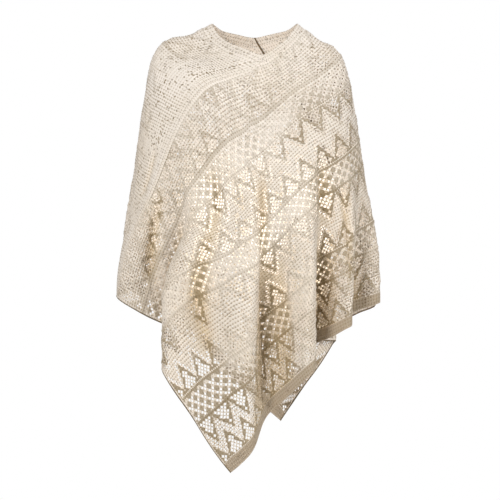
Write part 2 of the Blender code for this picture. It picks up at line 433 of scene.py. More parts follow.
@dataclass
class Drape:
    """The worn form: turns flat places into places on the hanging cloth."""

    hem_reach: float = 0.75
    collar_reach: float = 0.08
    side_stretch: float = 1.04
    point_stretch: float = 0.975
    flare: float = 0.02
    fold_run: float = 0.012
    slack_reach: float = 0.17
    step_down: float = 0.002
    step_round: float = 0.125
    longest: float = 0.875
    deep_fold: float = 0.22
    slack_share: float = 0.45
    least_drop: float = 0.2
    fold_edge: float = 0.01
    places: np.ndarray = field(init=False)
    outward: np.ndarray = field(init=False)
    openness: np.ndarray = field(init=False)

    def __post_init__(self) -> None:
        """Lay the form out once, on a fine net of cloth angles and distances from the neck edge."""
        last = CORNER_ANGLE + HALF_TURN
        angles = np.arange(CORNER_ANGLE, last + self.step_round / 2, self.step_round)
        downs = np.arange(0.0, self.longest + self.step_down / 2, self.step_down)
        down, angle = np.meshgrid(downs, angles, indexing="ij")
        rim = self.neck_reach(angle)
        plan_x, plan_y = self.plan_point(rim + down, angle)
        sideways = np.cos(self.azimuth(angle)) ** 2
        stretch = self.point_stretch + (self.side_stretch - self.point_stretch) * sideways
        length = self.step_down * stretch[1:]
        fall = length**2 - np.diff(plan_x, axis=0) ** 2 - np.diff(plan_y, axis=0) ** 2
        drop = np.sqrt(np.maximum(fall, (self.least_drop * length) ** 2))
        top = NECK_EDGE.read("z", angle[:1])
        z = top - np.vstack([np.zeros_like(top), np.cumsum(drop, axis=0)])
        z += SLACK.read("slack", angle) * smooth(down / self.slack_reach)
        self.places = np.stack([plan_x, plan_y, z], axis=-1)
        run_down = np.gradient(self.places, axis=0)
        turned = np.concatenate([self.places[:, -2:-1], self.places, self.places[:, 1:2]], axis=1)
        run_round = (turned[:, 2:] - turned[:, :-2]) / 2.0
        normal = -np.cross(run_down, run_round)
        self.outward = normal / np.linalg.norm(normal, axis=-1, keepdims=True)
        ring_x, ring_y = self.ring_point(rim + down, angle)
        hollow = 1.0 - np.hypot(plan_x, plan_y) / np.hypot(ring_x, ring_y)
        folded = self.folded_share(rim + down, angle)
        in_fold = smooth((hollow + self.fold_edge) / self.deep_fold)
        self.openness = (self.slack_share + folded * (in_fold - self.slack_share))[..., None]

    @staticmethod
    def neck_reach(angle: np.ndarray) -> np.ndarray:
        """Reach of the neck edge at cloth angles in degrees."""
        return APEX_OUT / np.sin(np.radians((angle - CORNER_ANGLE) % QUARTER_TURN + CORNER_ANGLE))

    @staticmethod
    def azimuth(angle: np.ndarray) -> np.ndarray:
        """Azimuth on the form, in radians, of cloth angles in degrees."""
        return np.radians(2.0 * (QUARTER_TURN - angle))

    def ring_point(self, reach: np.ndarray, angle: np.ndarray) -> tuple[np.ndarray, np.ndarray]:
        """Places on the form seen from above, with no folds.

        Args:
            reach: Distances from the flat sheet's apex.
            angle: Cloth angles in degrees.

        Returns:
            x and y of each place.
        """
        half = RINGS.read("half", reach)
        azimuth = self.azimuth(angle)
        depth = np.where(np.sin(azimuth) < 0.0, RINGS.read("front", reach), RINGS.read("back", reach))
        even = (half**2 - depth**2) / (4.0 * (half**2 + depth**2))
        turn = azimuth + even * np.sin(2.0 * azimuth)
        grow = 1.0 + RINGS.read("square", reach) * np.sin(2.0 * turn) ** 2
        x = RINGS.read("shift", reach) + half * np.cos(turn) * grow
        return x, depth * np.sin(turn) * grow

    def fold_point(self, angle: np.ndarray) -> tuple[np.ndarray, np.ndarray]:
        """Places on the folded hem line, passed at the cloth's own even pace.

        Args:
            angle: Cloth angles in degrees, from 92 to 272.

        Returns:
            x and y of each place.
        """
        rows = FOLDS.array()
        spots = rows[:, 1:3]
        chord = np.zeros_like(spots)
        chord[1:-1] = spots[2:] - spots[:-2]
        pace = np.zeros_like(spots)
        size = np.linalg.norm(chord[1:-1], axis=1, keepdims=True)
        pace[1:-1] = chord[1:-1] / size * self.fold_run
        low = np.clip(np.searchsorted(rows[:, 0], angle, side="right") - 1, 1, len(rows) - 3)
        span = (rows[low + 1, 0] - rows[low, 0])[..., None]
        u = (angle[..., None] - rows[low, 0][..., None]) / span
        spot = curve(u, span, (spots[low], spots[low + 1]), (pace[low], pace[low + 1]))
        return spot[..., 0], spot[..., 1]

    def folded_share(self, reach: np.ndarray, angle: np.ndarray) -> np.ndarray:
        """How fully the folds hold.

        Args:
            reach: Distances from the flat sheet's apex.
            angle: Cloth angles in degrees.

        Returns:
            Shares from 0, at the form, to 1, at the hem.
        """
        start = FOLDS.read("start", (angle - FOLD_ANGLE) % HALF_TURN + FOLD_ANGLE)
        return smooth((reach - start) / (self.hem_reach - start))

    def plan_point(self, reach: np.ndarray, angle: np.ndarray) -> tuple[np.ndarray, np.ndarray]:
        """Places seen from above: the ring, drawn to the neck edge above and into the folds below.

        Args:
            reach: Distances from the flat sheet's apex.
            angle: Cloth angles in degrees, from 45 to 225.

        Returns:
            x and y of each place.
        """
        x, y = self.ring_point(reach, angle)
        rim = self.neck_reach(angle)
        collar = 1.0 - smooth((reach - rim) / self.collar_reach)
        rim_x, rim_y = self.ring_point(rim, angle)
        x = x + collar * (NECK_EDGE.read("x", angle) - rim_x)
        y = y + collar * (NECK_EDGE.read("y", angle) - rim_y)
        folded = self.folded_share(reach, angle)
        hem_x, hem_y = self.fold_point((angle - FOLD_ANGLE) % HALF_TURN + FOLD_ANGLE)
        spread = 1.0 + self.flare * np.maximum(reach - self.hem_reach, 0.0)
        return x + folded * (hem_x * spread - x), y + folded * (hem_y * spread - y)

    def between(self, net: np.ndarray, flat: np.ndarray, side: Side) -> np.ndarray:
        """Read one of the form's nets at flat places.

        Args:
            net: The net.
            flat: Places along and across a rectangle, one row each.
            side: The rectangle.

        Returns:
            The net's values there, one row each.
        """
        run, rise = flat[:, 0] - APEX_ALONG, flat[:, 1] + APEX_OUT
        turned = np.degrees(np.arctan2(rise, run)) + side.value
        angle = (turned - CORNER_ANGLE) % HALF_TURN + CORNER_ANGLE
        row = (np.hypot(run, rise) - self.neck_reach(angle)) / self.step_down
        column = (angle - CORNER_ANGLE) / self.step_round
        low_row = np.clip(np.floor(row).astype(int), 0, net.shape[0] - 2)
        low_column = np.clip(np.floor(column).astype(int), 0, net.shape[1] - 2)
        v, u = (row - low_row)[:, None], (column - low_column)[:, None]
        upper = net[low_row, low_column] * (1 - u) + net[low_row, low_column + 1] * u
        lower = net[low_row + 1, low_column] * (1 - u) + net[low_row + 1, low_column + 1] * u
        return upper * (1 - v) + lower * v

    @staticmethod
    def creased(flat: np.ndarray, side: Side) -> np.ndarray:
        """Height of all the creases at flat places.

        Args:
            flat: Places along and across a rectangle, one row each.
            side: The rectangle.

        Returns:
            The heights, in metres, below zero in a trough.
        """
        lifts = (crease.lift(flat) for crease in CREASES if crease.side is side)
        return sum(lifts, np.zeros(len(flat)))

    def lay(self, flat: np.ndarray, side: Side) -> np.ndarray:
        """Lay flat points on the form.

        Args:
            flat: Places along and across a rectangle and heights over it, one row each.
            side: The rectangle.

        Returns:
            The places in space, one row each.
        """
        lift = flat[:, 2] + self.creased(flat[:, :2], side)
        outward = self.between(self.outward, flat, side)
        outward /= np.linalg.norm(outward, axis=1, keepdims=True)
        return self.between(self.places, flat, side) + outward * lift[:, None]


# Finishes

YARN_SURFACE = {
    "Roughness": 0.88,
    "Sheen Weight": 0.25,
    "Sheen Roughness": 0.5,
    "Sheen Tint": (1.0, 0.93, 0.86, 1.0),
    "Specular IOR Level": 0.25,
}
FLOOR_SURFACE = {"Base Color": (0.9, 0.9, 0.9, 1.0), "Roughness": 0.8}
DOME_SURFACE = {
    "Base Color": (0.0, 0.0, 0.0, 1.0),
    "Specular IOR Level": 0.0,
    "Emission Color": (1.0, 1.0, 1.0, 1.0),
    "Emission Strength": 1.0,
}


def set_inputs(node: bpy.types.Node, values: dict[str, object]) -> None:
    """Set some of a node's inputs.

    Args:
        node: The node.
        values: The inputs' names and values.
    """
    for name, value in values.items():
        node.inputs[name].default_value = value


@dataclass(frozen=True)
class Mottle:
    """Soft unevenness: its noise's scale and detail, the range that counts, and its share of the colour."""

    scale: float
    detail: float
    low: float
    high: float
    share: float


class NodeBench:
    """Short ways to add and join a material's nodes."""

    def __init__(self, material: bpy.types.Material) -> None:
        """Take a material's node tree in hand."""
        self.nodes = material.node_tree.nodes
        self.links = material.node_tree.links

    def add(self, kind: str, **settings: object) -> bpy.types.Node:
        """Add a node.

        Args:
            kind: The node's type name.
            **settings: Properties set on it.

        Returns:
            The node.
        """
        node = self.nodes.new(kind)
        for key, value in settings.items():
            setattr(node, key, value)
        return node

    def feed(self, socket: Socket, value: object) -> None:
        """Join a socket to another node's output, or set its value.

        Args:
            socket: The socket.
            value: The output that it is joined to, or its value.
        """
        if isinstance(value, Socket):
            self.links.new(value, socket)
        else:
            socket.default_value = value

    def math(self, operation: str, *values: object) -> Socket:
        """Add a Math node.

        Args:
            operation: The node's operation.
            *values: Its inputs, as sockets or numbers.

        Returns:
            Its output.
        """
        node = self.add("ShaderNodeMath", operation=operation)
        for socket, value in zip(node.inputs, values):
            self.feed(socket, value)
        return node.outputs[0]

    def noise(self, place: Socket, scale: float, detail: float) -> Socket:
        """Add a Noise texture.

        Args:
            place: The coordinates that it reads.
            scale: Its scale.
            detail: Its detail.

        Returns:
            Its factor.
        """
        node = self.add("ShaderNodeTexNoise")
        self.feed(node.inputs["Vector"], place)
        set_inputs(node, {"Scale": scale, "Detail": detail})
        return node.outputs["Fac"]

    def attribute(self, name: str) -> Socket:
        """Read one of the faces' attributes."""
        return self.add("ShaderNodeAttribute", attribute_name=name).outputs["Fac"]

    def ramp(self, value: object, low: float, high: float) -> Socket:
        """Stretch a value's range from low to high over 0 to 1.

        Args:
            value: The value.
            low: What becomes 0.
            high: What becomes 1.

        Returns:
            The stretched value.
        """
        node = self.add("ShaderNodeMapRange", interpolation_type="SMOOTHSTEP")
        self.feed(node.inputs["Value"], value)
        set_inputs(node, {"From Min": low, "From Max": high})
        return node.outputs["Result"]

    def mottle(self, place: Socket, mottle: Mottle) -> Socket:
        """Noise with its range stretched, as a share from 0 to 1."""
        return self.ramp(self.noise(place, mottle.scale, mottle.detail), mottle.low, mottle.high)

    def mix(self, share: object, first: object, second: object) -> Socket:
        """Mix two colours.

        Args:
            share: How much of the second.
            first: A colour or a socket.
            second: A colour or a socket.

        Returns:
            The mixed colour.
        """
        node = self.add("ShaderNodeMix", data_type="RGBA", blend_type="MIX")
        self.feed(node.inputs[0], share)
        for socket, colour in ((node.inputs[6], first), (node.inputs[7], second)):
            self.feed(socket, colour if isinstance(colour, Socket) else (*colour, 1.0))
        return node.outputs[2]


@dataclass(frozen=True)
class KnitFinish:
    """Soft matte yarn, knitted: colours in linear light and pitches in metres; four colours are painted
    shade, between the ribs, in specks, on the shaded stitches and in the folds.
    """

    name: str
    light: tuple[float, float, float] = (0.92, 0.86, 0.80)
    deep: tuple[float, float, float] = (0.73, 0.62, 0.48)
    # painted shade between the ribs, where the yarn lies low
    groove_shade: tuple[float, float, float] = (0.33, 0.24, 0.14)
    # painted shade of the dense stitches, eyelet rims and cords, mixed in by the faces' shade tone
    shade_colour: tuple[float, float, float] = (0.215, 0.145, 0.05)
    # painted shade of small holes, as dark specks
    pinhole_shade: tuple[float, float, float] = (0.20, 0.145, 0.09)
    # painted warm shade in the folds, the troughs and low towards the hem
    valley: tuple[float, float, float] = (0.60, 0.38, 0.08)
    # how much of that painted warm shade is mixed in
    warmth: float = 0.36
    rib: float = ROW_HEIGHT
    stitch: float = 0.0062
    is_along: bool = True
    relief: float = 0.0016
    bump: float = 0.8
    fibre: tuple[float, float] = (1400.0, 3.0)
    fibre_share: float = 0.5
    rib_share: float = 0.3
    loop_share: float = 0.17
    level: float = 0.17
    heather: Mottle = Mottle(420.0, 2.0, 0.35, 0.7, 0.45)
    patch: Mottle = Mottle(9.0, 3.0, 0.35, 0.75, 0.25)
    # The dark specks are painted shade of small holes, scattered in patches.
    speck: float = 0.0060
    speck_scatter: float = 0.55
    speck_range: tuple[float, float] = (0.40, 0.20)
    speck_patch: Mottle = Mottle(45.0, 3.0, 0.50, 0.64, 0.7)
    # where the low yarn takes the painted shade between the ribs, and how much of it
    groove_shade_range: tuple[float, float] = (0.60, 0.20)
    groove_shade_share: float = 0.74
    tone_share: float = 0.8

    def height(self, bench: NodeBench, flat: Socket) -> Socket:
        """Height of the yarn: ribs with stitches along them, and loose fibre.

        Args:
            bench: The material's nodes.
            flat: Places on the flat cloth.

        Returns:
            The height, about 0 to 1.
        """
        parts = bench.add("ShaderNodeSeparateXYZ")
        bench.feed(parts.inputs[0], flat)
        along, across = parts.outputs["X"], parts.outputs["Y"]
        rise, run = (across, along) if self.is_along else (along, across)
        leg = bench.math("PINGPONG", bench.math("MULTIPLY", rise, 1.0 / self.rib), 0.5)
        hump = bench.math("SINE", bench.math("MULTIPLY", leg, math.pi))
        up = bench.math("COSINE", bench.math("MULTIPLY", rise, 2.0 * math.pi / self.stitch))
        on = bench.math("COSINE", bench.math("MULTIPLY", run, 2.0 * math.pi / self.stitch))
        ribs = bench.math("MULTIPLY", hump, self.rib_share)
        height = bench.math("MULTIPLY_ADD", bench.math("SUBTRACT", up, on), self.loop_share, ribs)
        height = bench.math("MULTIPLY_ADD", bench.noise(flat, *self.fibre), self.fibre_share, height)
        return bench.math("ADD", height, self.level)

    def colour(self, bench: NodeBench, flat: Socket, height: Socket) -> Socket:
        """Colour of the yarn: mottled, with painted shade between the ribs, in specks for small holes, warm
        in the folds and on the shaded stitches.

        Args:
            bench: The material's nodes.
            flat: Places on the flat cloth.
            height: Height of the yarn.

        Returns:
            The colour.
        """
        patch = bench.math("MULTIPLY", bench.mottle(flat, self.patch), self.patch.share)
        heather = bench.mottle(flat, self.heather)
        share = bench.math("MULTIPLY_ADD", heather, self.heather.share, patch)
        colour = bench.mix(share, self.light, self.deep)
        cells = bench.add("ShaderNodeTexVoronoi")
        bench.feed(cells.inputs["Vector"], flat)
        set_inputs(cells, {"Scale": 1.0 / self.speck, "Randomness": self.speck_scatter})
        specks = bench.ramp(cells.outputs["Distance"], *self.speck_range)
        specks = bench.math("MULTIPLY", specks, bench.mottle(flat, self.speck_patch))
        # Painted shade over the mottled yarn: between the ribs, specks for small holes, warm shade in the
        # folds, and the stitches' shade tone.
        for share, strength, tint in (
            (bench.ramp(height, *self.groove_shade_range), self.groove_shade_share, self.groove_shade),
            (specks, self.speck_patch.share, self.pinhole_shade),
            (bench.attribute(FOLD_SHADE_NAME), self.warmth, self.valley),
            (bench.attribute(PAINTED_SHADE_NAME), self.tone_share, self.shade_colour),
        ):
            colour = bench.mix(bench.math("MULTIPLY", share, strength), colour, tint)
        return colour

    def build(self) -> bpy.types.Material:
        """Make the material.

        Returns:
            The material, whose pattern follows the flat cloth.
        """
        material = bpy.data.materials.new(self.name)
        material.use_nodes = True
        bench = NodeBench(material)
        shader = bench.nodes["Principled BSDF"]
        set_inputs(shader, YARN_SURFACE)
        flat = bench.add("ShaderNodeUVMap", uv_map=UV_NAME).outputs["UV"]
        height = self.height(bench, flat)
        bump = bench.add("ShaderNodeBump")
        set_inputs(bump, {"Strength": self.bump, "Distance": self.relief})
        bench.feed(bump.inputs["Height"], height)
        bench.feed(shader.inputs["Normal"], bump.outputs["Normal"])
        bench.feed(shader.inputs["Base Color"], self.colour(bench, flat, height))
        return material


# Pieces

def add_object(name: str, data: bpy.types.ID) -> bpy.types.Object:
    """Add an object to the scene.

    Args:
        name: Its name.
        data: Its mesh, light or camera.

    Returns:
        The object.
    """
    thing = bpy.data.objects.new(name, data)
    bpy.context.scene.collection.objects.link(thing)
    return thing


@dataclass(frozen=True)
class Piece:
    """A finished piece and its size before it was hung."""

    thing: bpy.types.Object
    flat: tuple[float, float]


@dataclass
class ClothPiece:
    """What every knitted piece shares: it is made flat, then laid on the form and given its wall."""

    drape: Drape
    side: Side
    finish: bpy.types.Material

    @staticmethod
    def flat_grid(along: tuple[float, float], across: tuple[float, float], cells: tuple[int, int]) -> Sheet:
        """Make a flat grid.

        Args:
            along: Its first and last place along the rectangle.
            across: Its first and last place across it.
            cells: Its cells along and across.

        Returns:
            The grid.
        """
        flat = bmesh.new()
        bmesh.ops.create_grid(flat, x_segments=cells[0], y_segments=cells[1], size=0.5)
        size = Vector((along[1] - along[0], across[1] - across[0], 1.0))
        middle = Vector(((along[0] + along[1]) / 2.0, (across[0] + across[1]) / 2.0, 0.0))
        bmesh.ops.scale(flat, vec=size, verts=flat.verts)
        bmesh.ops.translate(flat, vec=middle, verts=flat.verts)
        return flat

    def hang(self, flat: Sheet, name: str, shades: dict[str, list[float]], wall: float) -> bpy.types.Object:
        """Lay a flat mesh on the form and give it its wall.

        Args:
            flat: The flat mesh; height over the cloth is its z. It is freed.
            name: The piece's name.
            shades: The faces' attributes that the finish reads, each with a value for each face.
            wall: Thickness of the wall; 0 where the mesh is closed already.

        Returns:
            The piece.
        """
        bmesh.ops.reverse_faces(flat, faces=flat.faces)
        mesh = bpy.data.meshes.new(name)
        flat.to_mesh(mesh)
        flat.free()
        count = len(mesh.vertices)
        spots = np.empty(count * 3)
        mesh.vertices.foreach_get("co", spots)
        spots = spots.reshape(-1, 3)
        corners = np.empty(len(mesh.loops), dtype=np.int32)
        mesh.loops.foreach_get("vertex_index", corners)
        layer = mesh.uv_layers.new(name=UV_NAME)
        layer.data.foreach_set("uv", spots[corners, :2].ravel())
        for shade_name, values in shades.items():
            shade = mesh.attributes.new(shade_name, "FLOAT", "FACE")
            shade.data.foreach_set("value", np.array(values, dtype=np.float32))
        mesh.vertices.foreach_set("co", self.drape.lay(spots, self.side).ravel())
        mesh.shade_smooth()
        mesh.materials.append(self.finish)
        mesh.update()
        piece = add_object(name, mesh)
        if wall > 0.0:
            self.thicken(piece, wall)
        return piece

    @staticmethod
    def thicken(piece: bpy.types.Object, wall: float) -> None:
        """Give an open sheet a wall, thinner where its yarn group is light, and crisp its edges.

        Args:
            piece: The sheet, whose mesh this replaces.
            wall: Thickness of the wall.
        """
        shell = piece.modifiers.new("wall", "SOLIDIFY")
        shell.thickness = wall
        shell.offset = 0.0
        shell.use_rim = True
        if YARN_NAME in piece.vertex_groups:
            shell.vertex_group = YARN_NAME
        sheet = piece.data
        graph = bpy.context.evaluated_depsgraph_get()
        piece.data = bpy.data.meshes.new_from_object(piece.evaluated_get(graph))
        piece.modifiers.clear()
        piece.vertex_groups.clear()
        bpy.data.meshes.remove(sheet)
        piece.data.name = piece.name
        piece.data.set_sharp_from_angle(angle=math.radians(SHARP_ANGLE))


class Chart:
    """The lace pattern: which stitch is at a half column and a half row."""

    @staticmethod
    def zone(row: int) -> Zone | None:
        """Find the pattern course at a half row.

        Args:
            row: Half rows from the ribbed hem.

        Returns:
            The course, or None past the field's edge.
        """
        for zone in ZONES:
            if 2 * zone.low <= row < 2 * (zone.low + zone.rows):
                return zone
        return None

    def stitch(self, column: int, row: int) -> Stitch:
        """Find a stitch.

        Args:
            column: Half columns from the free short end.
            row: Half rows from the ribbed hem.

        Returns:
            The stitch.
        """
        last = 2 * ROWS
        zone = self.zone(row)
        if row == last - 4 and GAPING[0] <= column <= GAPING[1]:
            return Stitch.EYELET
        if column < 2 or column > 2 * COLUMNS - 2 or row >= last - 3 or zone is None:
            return Stitch.PLAIN
        if column == 2 * COLUMNS - 3 and row % 4 == 0 and last - row < SEAM_EYELETS:
            return Stitch.EYELET
        if column >= PLAIN_END:
            return Stitch.PLAIN
        inside, height = row - 2 * zone.low, 2 * zone.rows
        if zone.course is Course.ZIGZAG:
            return self.zigzag(column, inside, height)
        return self.diamonds(column, inside, height)

    @staticmethod
    def zigzag(column: int, row: int, height: int) -> Stitch:
        """Stitch of a zigzag course: a plain zigzag with laddered edges between two rows of net teeth.

        Args:
            column: Half columns from the free short end.
            row: Half rows from the course's foot.
            height: The course's height in half rows.

        Returns:
            The stitch.
        """
        half = REPEAT // 2
        lean = half / TOOTH
        from_low = abs((column + half) % REPEAT - half) - (TOOTH - row) * lean
        from_high = abs(column % REPEAT - half) - (TOOTH - height + row) * lean
        beside = min(from_low, from_high)
        if beside < 0.0:
            return Stitch.NET
        if beside < LINE_STITCHES:
            return Stitch.LINE
        if row % 2 == 0 and SLIT_START <= beside < SLIT_START + 2.0:
            return Stitch.SLIT
        return Stitch.PLAIN

    @staticmethod
    def slanted(column: int, row: int) -> tuple[int, int]:
        """Count a place along the two slants of the stitches' net."""
        return (column + row) // 2, (row - column) // 2

    def diamonds(self, column: int, row: int, height: int) -> Stitch:
        """Stitch of a band of small solid diamonds on net, between two ridges that stand out.

        Args:
            column: Half columns from the free short end.
            row: Half rows from the band's foot.
            height: The band's height in half rows.

        Returns:
            The stitch.
        """
        if row < 2 or row >= height - 2:
            return Stitch.RIDGE
        rising, falling = self.slanted(column, row)
        if rising % DIAMOND < DIAMOND - 2 and falling % DIAMOND < DIAMOND - 2:
            return Stitch.BLOCK
        return Stitch.NET

    @staticmethod
    def is_pinhole(column: int, row: int) -> bool:
        """Whether a drawn-up stitch still shows as a small dark hole, in loose and uneven groups.

        Args:
            column: Half columns from the free short end.
            row: Half rows from the ribbed hem.

        Returns:
            True where it does.
        """
        column_step, row_step, stretch = PINHOLE_SCATTER
        scatter = math.sin(column * column_step + row * row_step) * stretch
        (along, along_start), (across, across_start) = PINHOLE_WAVES
        group = math.sin(column * along + along_start) * math.sin(row * across + across_start)
        return scatter - math.floor(scatter) < PINHOLES * (PINHOLE_BASE + max(group, 0.0))

    def is_net_centre(self, column: int, row: int) -> bool:
        """Whether the four stitches about a corner of the net are drawn out into one mesh.

        Args:
            column: Half columns from the free short end.
            row: Half rows from the ribbed hem.

        Returns:
            True where they are.
        """
        zone = self.zone(row)
        if zone is None:
            return False
        rising, falling = self.slanted(column, row - 2 * zone.low)
        if zone.course is Course.ZIGZAG:
            return rising % 2 == 1 and falling % 2 == 1
        spot = (rising % DIAMOND, falling % DIAMOND)
        return spot in ((DIAMOND - 1, DIAMOND - 1), (DIAMOND - 1, 1), (1, DIAMOND - 1))


@dataclass
class LaceField(ClothPiece):
    """The lace field of one rectangle, knitted in four parts that meet on ridges that stand out."""

    chart: Chart = field(default_factory=Chart)
    wall: float = 0.0017
    strands: dict[Stitch, tuple[float, float]] = field(
        default_factory=lambda: {
            Stitch.NET: (0.00100, 0.00220),
            Stitch.SLIT: (0.00030, 0.00080),
            Stitch.EYELET: (0.00070, 0.00090),
        }
    )
    strand_steps: int = 5
    rim_share: float = 0.4
    rib_height: float = 0.0009
    slit_pull: float = 0.0016
    least_pull: float = 0.3
    mesh_size: float = 1.5
    whole_size: float = 0.98
    half_size: float = 0.75
    single_margin: float = 0.1
    # How much of its stitch's painted shade each face shows: more the more open it hangs, so most in the
    # folds, and always some on eyelets, ridges and lines.
    tone_shown: Ease = Ease(0.28, 0.66)
    shy_tone: float = 0.14
    shy_tones: dict[Stitch, float] = field(
        default_factory=lambda: {Stitch.EYELET: 1.0, Stitch.RIDGE: 0.36, Stitch.LINE: 0.30}
    )
    hem_opening: Ease = Ease(0.74, 0.12, 0.75)
    free_opening: Ease = Ease(0.11, -0.10, 0.45)
    far_opening: tuple[Ease, Ease] = (Ease(0.48, 0.08, 0.42), Ease(0.10, 0.10))
    trough_opening: Ease = Ease(0.44, 0.14)
    trough_depth: float = 0.014
    ripple: float = 0.16
    ripple_along: tuple[float, float] = (41.0, 1.3)
    ripple_across: tuple[float, float] = (53.0, 0.4)
    least_open: float = 0.26
    drawn_up: float = 0.05
    close_reach: Ease = Ease(0.17, 0.12)
    close_along: dict[Side, Ease] = field(
        default_factory=lambda: {Side.FRONT: Ease(0.80, 0.10), Side.BACK: Ease(0.60, 0.10)}
    )
    # Painted warm shade in the troughs low on the cloth, and some everywhere low towards the hem.
    low_valley: Ease = Ease(0.36, 0.14)
    low_warmth: float = 0.20

    def lattice(self, low: int, high: int) -> Sheet:
        """Make the flat net of diamond stitches between two rows.

        Args:
            low: First row from the hem.
            high: Last row from the hem.

        Returns:
            The flat mesh, one diamond a stitch.
        """
        near = FIELD_EDGE - high * ROW_HEIGHT + (HALF_GAP if high == ROWS else 0.0)
        far = FIELD_EDGE - low * ROW_HEIGHT - (HALF_GAP if low == 0 else 0.0)
        flat = self.flat_grid((0.0, PANEL_LENGTH - HALF_GAP), (near, far), (COLUMNS, high - low))
        inner = [edge for edge in flat.edges if not edge.is_boundary]
        bmesh.ops.poke(flat, faces=flat.faces)
        bmesh.ops.dissolve_edges(flat, edges=inner, use_verts=False)
        return flat

    @staticmethod
    def counted(spot: Vector) -> tuple[int, int]:
        """Chart place of a flat place: half columns from the free end and half rows from the hem."""
        return round(spot.x / COLUMN_WIDTH * 2.0), round((FIELD_EDGE - spot.y) / ROW_HEIGHT * 2.0)

    def draw_out_meshes(self, flat: Sheet) -> None:
        """Join stitches by fours into the large meshes of the net.

        Args:
            flat: The flat mesh, which this changes.
        """
        open_stitches = {
            face
            for face in flat.faces
            if self.chart.stitch(*self.counted(face.calc_center_bounds())) is Stitch.NET
        }
        centres = [
            vert
            for vert in flat.verts
            if self.chart.is_net_centre(*self.counted(vert.co))
            and len(vert.link_faces) == 4
            and open_stitches.issuperset(vert.link_faces)
        ]
        bmesh.ops.dissolve_verts(flat, verts=centres)
        spare = [vert for vert in flat.verts if len(vert.link_edges) == 2 and not vert.is_boundary]
        bmesh.ops.dissolve_verts(flat, verts=spare)

    def name_stitches(self, flat: Sheet) -> dict[Face, Stitch]:
        """Say which stitch each face is.

        Args:
            flat: The flat mesh, its large meshes drawn out.

        Returns:
            The stitch of each face.
        """
        kinds = {}
        for face in flat.faces:
            size = face.calc_area() / STITCH_AREA
            column, row = self.counted(face.calc_center_bounds())
            kind = self.chart.stitch(column, row)
            if size > self.mesh_size:
                kind = Stitch.NET
            elif size < self.half_size:
                kind = Stitch.PLAIN
            elif kind is Stitch.NET:
                is_line = self.chart.zone(row).course is Course.ZIGZAG and size > self.whole_size
                kind = Stitch.LINE if is_line else Stitch.PLAIN
            kinds[face] = kind
        return kinds

    def openings(self, flat: Sheet) -> dict[Face, float]:
        """How open the knit hangs at each stitch: drawn close on the ridges and over the shoulders.

        Args:
            flat: The flat mesh.

        Returns:
            A share from 0 to 1 for each face.
        """
        faces = list(flat.faces)
        spots = np.array([face.calc_center_median()[:2] for face in faces])
        share = self.drape.between(self.drape.openness, spots, self.side)[:, 0]
        along, across = spots[:, 0], spots[:, 1]
        reach = np.hypot(along - APEX_ALONG, across + APEX_OUT)
        share = share + self.hem_opening.at(reach) + self.free_opening.at(along)
        lower = self.trough_opening.at(reach)
        share = share - lower * self.drape.creased(spots, self.side) / self.trough_depth
        share = share + self.far_opening[0].at(along) * self.far_opening[1].at(across)
        waves = ((along, self.ripple_along), (across, self.ripple_across))
        first, second = (np.sin(place * rate + phase) for place, (rate, phase) in waves)
        share += self.ripple * first * second
        share = np.clip(share, self.least_open, 1.0) * self.close_reach.at(reach)
        share = share * (1.0 - self.close_along[self.side].at(along))
        return dict(zip(faces, share.tolist()))

    def valleys(self, spots: np.ndarray) -> np.ndarray:
        """How much painted warm shade each flat place takes: deep in a fold or a trough, and low towards the
        hem.

        Args:
            spots: Places along and across the rectangle, one row each.

        Returns:
            A share from 0 to 1 for each place.
        """
        hang = self.drape.between(self.drape.openness, spots, self.side)[:, 0]
        in_fold = (hang - self.drape.slack_share) / (1.0 - self.drape.slack_share)
        reach = np.hypot(spots[:, 0] - APEX_ALONG, spots[:, 1] + APEX_OUT)
        lower = self.low_valley.at(reach)
        trough = np.maximum(-self.drape.creased(spots, self.side), 0.0) / self.trough_depth
        return np.clip(np.maximum(in_fold, 0.0) + lower * (trough + self.low_warmth), 0.0, 1.0)

    def draw_up(self, kinds: dict[Face, Stitch], shares: dict[Face, float]) -> None:
        """Close the stitches of the drawn-up cloth, apart from its pinholes.

        Args:
            kinds: The stitch of each face, which this changes.
            shares: How open each stitch hangs.
        """
        for face, kind in kinds.items():
            if shares[face] > self.drawn_up or kind is Stitch.EYELET:
                continue
            is_single = abs(face.calc_area() / STITCH_AREA - 1.0) < self.single_margin
            if is_single and self.chart.is_pinhole(*self.counted(face.calc_center_bounds())):
                kinds[face] = Stitch.EYELET
            elif kind.is_open:
                kinds[face] = Stitch.PLAIN

    def raise_relief(self, kinds: dict[Face, Stitch], flat: Sheet) -> None:
        """Lift the dense stitches, and the ribs of the plain ones.

        Args:
            kinds: The stitch of each face.
            flat: The flat mesh, which this changes.
        """
        for vert in flat.verts:
            around = [kinds[face] for face in vert.link_faces]
            vert.co.z = sum(kind.height for kind in around) / len(around)
            _, row = self.counted(vert.co)
            if row % 2 == 1 and row < 2 * ROWS - 4 and not any(kind.is_open for kind in around):
                vert.co.z += self.rib_height

    def open_holes(self, kinds: dict[Face, Stitch], shares: dict[Face, float], flat: Sheet) -> list[Face]:
        """Draw the yarn of each open stitch in from its edges, and pull the slits long.

        Args:
            kinds: The stitch of each face.
            shares: How open each stitch hangs.
            flat: The flat mesh.

        Returns:
            The open stitches, each as large as its hole.
        """
        groups: dict[tuple[Stitch, int], list[Face]] = {}
        for face, kind in kinds.items():
            if kind.is_open:
                step = round(shares[face] * self.strand_steps)
                groups.setdefault((kind, step), []).append(face)
                if kind is Stitch.SLIT:
                    self.pull_long(face, shares[face])
        for (kind, step), faces in groups.items():
            loose, close = self.strands[kind]
            strand = close + (loose - close) * step / self.strand_steps
            bmesh.ops.inset_individual(flat, faces=faces, thickness=strand, use_even_offset=True)
        return [face for faces in groups.values() for face in faces]

